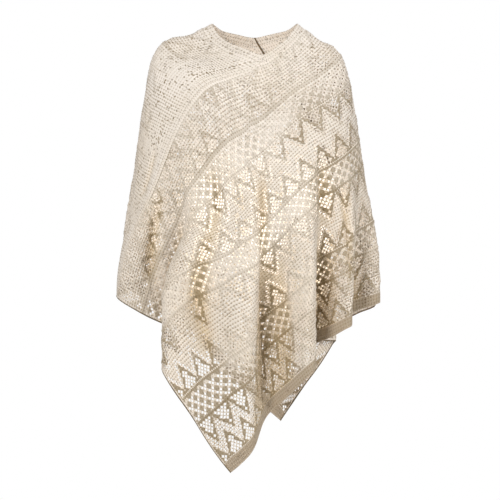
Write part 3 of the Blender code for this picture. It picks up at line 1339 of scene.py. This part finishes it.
    def pull_long(self, face: Face, share: float) -> None:
        """Pull a slit's two ends apart along the rib.

        Args:
            face: The slit.
            share: How open it hangs.
        """
        middle = face.calc_center_median()
        pull = self.slit_pull * (self.least_pull + (1.0 - self.least_pull) * share)
        for vert in face.verts:
            if abs(vert.co.x - middle.x) > COLUMN_WIDTH / 4.0:
                vert.co.x += math.copysign(pull, vert.co.x - middle.x)

    def knit(self, name: str, low: int, high: int) -> Piece:
        """Knit one part of the field.

        Args:
            name: The part's name after its side's.
            low: First row from the hem.
            high: Last row from the hem.

        Returns:
            The piece.
        """
        flat = self.lattice(low, high)
        self.draw_out_meshes(flat)
        tone_layer = flat.faces.layers.float.new("tone")
        yarn = flat.verts.layers.deform.verify()
        kinds = self.name_stitches(flat)
        shares = self.openings(flat)
        self.draw_up(kinds, shares)
        self.raise_relief(kinds, flat)
        # Each face's painted shade tone: its stitch's tone, shown more where the stitch hangs open.
        for face, kind in kinds.items():
            shy = self.shy_tones.get(kind, self.shy_tone)
            shown = shy + (1.0 - shy) * float(self.tone_shown.at(shares[face]))
            face[tone_layer] = kind.tone * shown
        holes = self.open_holes(kinds, shares, flat)
        rims = {vert for face in holes for vert in face.verts}
        for vert in flat.verts:
            vert[yarn][0] = self.rim_share if vert in rims else 1.0
        bmesh.ops.delete(flat, geom=holes, context="FACES")
        spots = np.array([face.calc_center_median()[:2] for face in flat.faces])
        shades = {PAINTED_SHADE_NAME: [face[tone_layer] for face in flat.faces], FOLD_SHADE_NAME: self.valleys(spots)}
        flat.faces.layers.float.remove(flat.faces.layers.float["tone"])
        thing = self.hang(flat, f"{self.side.word}_{name}", shades, 0.0)
        thing.vertex_groups.new(name=YARN_NAME)
        self.thicken(thing, self.wall)
        LOG.info("%s: %d stitches, %d of them open", thing.name, len(kinds), len(holes))
        return Piece(thing, ((high - low) * ROW_HEIGHT, PANEL_LENGTH))

    def build(self) -> list[Piece]:
        """Knit all the parts.

        Returns:
            The pieces, from the hem up.
        """
        return [self.knit(name, low, high) for name, low, high in FIELD_PARTS]


@dataclass
class Band(ClothPiece):
    """A narrow band along a long edge, with its ribs across it."""

    name: str
    width: float
    across: tuple[float, float]
    ribs: int
    rows: int
    rib_height: float
    wall: float
    # how much painted shade darkens the band's yarn
    tone: float

    def trim(self, vert: bmesh.types.BMVert, is_rib: bool) -> None:
        """Finish the flat band's shape at one of its points; each kind of band has its own way."""

    def build(self) -> Piece:
        """Knit the band.

        Returns:
            The piece.
        """
        flat = self.flat_grid((0.0, PANEL_LENGTH - HALF_GAP), self.across, (2 * self.ribs, self.rows))
        half = PANEL_LENGTH / self.ribs / 2.0
        for vert in flat.verts:
            is_rib = round(vert.co.x / half) % 2 == 1
            vert.co.z = self.rib_height * (0.5 if is_rib else -0.5)
            self.trim(vert, is_rib)
        shades = {PAINTED_SHADE_NAME: [self.tone] * len(flat.faces)}
        thing = self.hang(flat, f"{self.side.word}_{self.name}", shades, self.wall)
        LOG.info("%s: %d ribs", thing.name, self.ribs)
        return Piece(thing, (self.width, PANEL_LENGTH))


@dataclass
class HemRib(Band):
    """The ribbed band along the outer long edge."""

    name: str = "rib_band"
    width: float = RIB_WIDTH
    across: tuple[float, float] = (FIELD_EDGE + HALF_GAP, PANEL_WIDTH)
    ribs: int = 242
    rows: int = 7
    rib_height: float = 0.0008
    wall: float = 0.0018
    # painted shade tone of the dense ribs
    tone: float = 0.35
    edge_margin: float = 1e-5
    edge_share: float = 0.4
    scallop: float = 0.0006

    def trim(self, vert: bmesh.types.BMVert, is_rib: bool) -> None:
        """Flatten the ribs at the outer edge, and draw them in a little.

        Args:
            vert: A point of the flat band.
            is_rib: Whether it lies on a rib.
        """
        if vert.co.y > PANEL_WIDTH - self.edge_margin:
            vert.co.z *= self.edge_share
            if is_rib:
                vert.co.y -= self.scallop


@dataclass
class InnerBorder(Band):
    """The plain band along the inner long edge: sewn edge first, then the rolled neck edge."""

    name: str = "neck_border"
    width: float = BORDER_WIDTH
    across: tuple[float, float] = (HALF_GAP, BORDER_WIDTH - HALF_GAP)
    ribs: int = 290
    rows: int = 6
    rib_height: float = 0.00035
    wall: float = 0.0017
    tone: float = 0.05
    proud: float = 0.0002

    def trim(self, vert: bmesh.types.BMVert, is_rib: bool) -> None:
        """Arch the band a little over its width."""
        vert.co.z += self.proud * math.sin(math.pi * (vert.co.y / BORDER_WIDTH))


@dataclass
class EdgeCord(ClothPiece):
    """A thin rolled edge of yarn: the bound-off free end, or the overcast seam on the inside. Its dark yarn
    is painted shade, for the shadow lines along the free end and in the seam.
    """

    radius: float = 0.0016
    step: float = 0.004
    sides: int = 8
    # full painted shade tone
    tone: float = 1.0

    def build(self, name: str, start: Vector, end: Vector) -> bpy.types.Object:
        """Roll the cord between two flat places.

        Args:
            name: The piece's name after its side's.
            start: Its first flat place, with its height.
            end: Its last flat place, with its height.

        Returns:
            The piece.
        """
        run = end - start
        turns = max(round(run.length / self.step), 2)
        flat = bmesh.new()
        ring = bmesh.ops.create_circle(flat, cap_ends=True, segments=self.sides, radius=self.radius)
        turn = run.to_track_quat("Z", "X").to_matrix().to_4x4()
        place = Matrix.Translation(start) @ turn
        bmesh.ops.transform(flat, matrix=place, verts=ring["verts"])
        cap = list(flat.faces)
        for count in range(turns):
            pulled = bmesh.ops.extrude_face_region(flat, geom=cap)
            verts = [item for item in pulled["geom"] if isinstance(item, bmesh.types.BMVert)]
            bmesh.ops.translate(flat, vec=run / turns, verts=verts)
            if count > 0:
                bmesh.ops.delete(flat, geom=cap, context="FACES_ONLY")
            cap = [item for item in pulled["geom"] if isinstance(item, Face)]
        bmesh.ops.recalc_face_normals(flat, faces=flat.faces)
        shades = {PAINTED_SHADE_NAME: [self.tone] * len(flat.faces)}
        thing = self.hang(flat, f"{self.side.word}_{name}", shades, 0.0)
        LOG.info("%s: %.0f mm", thing.name, run.length * 1000.0)
        return thing


# Assembly

@dataclass
class Rectangle:
    """One knitted rectangle with its border, lace field, ribbed hem and free-end cord."""

    drape: Drape
    side: Side
    lace: bpy.types.Material
    ribbed: bpy.types.Material
    plain: bpy.types.Material
    edge_shade: bpy.types.Material
    free_inset: float = 0.0005
    seam_radius: float = 0.0022
    seam_inset: float = 0.0016
    seam_end: float = 0.002

    def build(self) -> None:
        word = self.side.word
        field_pieces = LaceField(self.drape, self.side, self.lace).build()
        rib = HemRib(self.drape, self.side, self.ribbed).build()
        border = InnerBorder(self.drape, self.side, self.plain).build()
        top, bottom = Vector((0.0, self.free_inset, 0.0)), Vector((0.0, PANEL_WIDTH - self.free_inset, 0.0))
        free_end = EdgeCord(self.drape, self.side, self.edge_shade).build("free_edge", top, bottom)
        top = Vector((PANEL_LENGTH - self.seam_inset, 0.0, -self.seam_radius))
        bottom = Vector((top.x, PANEL_WIDTH - self.seam_end, top.z))
        overcast = EdgeCord(self.drape, self.side, self.edge_shade, radius=self.seam_radius)
        seam = overcast.build("seam_cord", top, bottom)
        for piece in field_pieces:
            self.declare(piece, f"{word}_panel")
        self.declare(rib, f"{word}_hem_rib")
        self.declare(border, f"{word}_border")
        for cord in (free_end, seam):
            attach(cord, "root")

    @staticmethod
    def declare(piece: Piece, node: str) -> None:
        """Hang a piece from the root and hide the solid that it stands for.

        Args:
            piece: The piece.
            node: The solid that it stands for, which is hidden.
        """
        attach(piece.thing, "root")
        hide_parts(node)


@dataclass(frozen=True)
class Lamp:
    """A soft square lamp: its place, what it faces, its side in metres and its power in watts."""

    name: str
    place: tuple[float, float, float]
    target: tuple[float, float, float]
    size: float
    power: float

    def hang(self) -> None:
        """Hang the lamp, unseen by the camera."""
        data = bpy.data.lights.new(self.name, "AREA")
        data.size = self.size
        data.energy = self.power
        lamp = add_object(self.name, data)
        lamp.location = self.place
        way = Vector(self.target) - Vector(self.place)
        lamp.rotation_euler = way.to_track_quat("-Z", "Y").to_euler()
        lamp.visible_camera = False


MIDDLE = (0.0, 0.0, -0.45)
LAMPS = (
    Lamp("key", (-1.1, -2.3, 0.75), MIDDLE, 1.0, 57.0),
    Lamp("fill", (2.6, -1.1, 0.2), MIDDLE, 1.0, 44.0),
    Lamp("behind", (0.8, 2.5, 0.5), MIDDLE, 1.2, 42.0),
    Lamp("hollow_back", (0.0, 0.02, -0.42), (0.0, 1.02, -0.42), 0.3, 1.1),
)


@dataclass
class Studio:
    """Pale floor, soft light and the camera."""

    eye: Vector = field(default_factory=lambda: Vector((0.0, -2.6, -0.466)))
    pixels_per_metre: float = 485.0
    frame_pixels: float = 500.0
    sensor: float = 36.0
    floor_height: float = -1.2
    floor_radius: float = 1.0
    floor_sides: int = 96
    dome_radius: float = 30.0
    dome_splits: int = 3
    surround: float = 0.26
    surround_colour: tuple[float, float, float, float] = (1.0, 0.955, 0.88, 1.0)

    def camera(self) -> None:
        """Set the camera level, in front of the garment."""
        data = bpy.data.cameras.new("camera")
        data.sensor_width = self.sensor
        data.lens = self.pixels_per_metre * -self.eye.y / self.frame_pixels * self.sensor
        camera = add_object("camera", data)
        camera.location = self.eye
        camera.rotation_euler = (math.pi / 2.0, 0.0, 0.0)
        bpy.context.scene.camera = camera

    @staticmethod
    def stand(name: str, shape: Sheet, finish: str, surface: dict[str, object]) -> bpy.types.Object:
        """Set a shape up as a part of the studio.

        Args:
            name: Its name.
            shape: Its mesh, which is freed.
            finish: Its material's name.
            surface: Its material's inputs.

        Returns:
            The object.
        """
        mesh = bpy.data.meshes.new(name)
        shape.to_mesh(mesh)
        shape.free()
        material = bpy.data.materials.new(finish)
        material.use_nodes = True
        set_inputs(material.node_tree.nodes["Principled BSDF"], surface)
        mesh.materials.append(material)
        thing = add_object(name, mesh)
        return thing

    def floor(self) -> None:
        """Lay a plain pale round floor."""
        disc = bmesh.new()
        bmesh.ops.create_circle(disc, cap_ends=True, segments=self.floor_sides, radius=self.floor_radius)
        bmesh.ops.translate(disc, vec=(0.0, 0.0, self.floor_height), verts=disc.verts)
        self.stand("floor", disc, "pale_floor", FLOOR_SURFACE)

    def dome(self) -> None:
        """Close the studio with a white dome that is seen and casts no light."""
        ball = bmesh.new()
        bmesh.ops.create_icosphere(ball, subdivisions=self.dome_splits, radius=self.dome_radius)
        bmesh.ops.reverse_faces(ball, faces=ball.faces)
        dome = self.stand("white_dome", ball, "white_dome", DOME_SURFACE)
        dome.visible_diffuse = False
        dome.visible_glossy = False
        dome.visible_shadow = False

    def light(self) -> None:
        """Set the pale surround and the lamps."""
        world = bpy.data.worlds.new("white_surround")
        world.use_nodes = True
        surround = world.node_tree.nodes["Background"]
        set_inputs(surround, {"Color": self.surround_colour, "Strength": self.surround})
        bpy.context.scene.world = world
        for lamp in LAMPS:
            lamp.hang()
        bpy.context.scene.view_settings.view_transform = "Standard"

    def build(self) -> None:
        """Set the whole studio."""
        self.camera()
        self.floor()
        self.dome()
        self.light()


def main() -> None:
    """Build the studio and both rectangles."""
    logging.basicConfig(level=logging.INFO, format="%(name)s: %(message)s")
    Studio().build()
    drape = Drape()
    lace = KnitFinish("lace_knit", rib=1.5 * ROW_HEIGHT).build()
    # The rib band's yarn is darker: painted shade of its dense ribs.
    ribbed = KnitFinish(
        "rib_knit", light=(0.66, 0.56, 0.45), deep=(0.48, 0.38, 0.27), is_along=False, rib=0.0018
    ).build()
    plain = KnitFinish("plain_knit", is_along=False).build()
    # Dark yarn of the cords: painted shade for the shadow lines along the free end and in the seams.
    edge_shade = KnitFinish(
        "edge_shade_yarn", light=(0.30, 0.22, 0.13), deep=(0.20, 0.14, 0.08), shade_colour=(0.13, 0.09, 0.04)
    ).build()
    for side in Side:
        Rectangle(drape, side, lace, ribbed, plain, edge_shade).build()


if __name__ == "__main__":
    main()
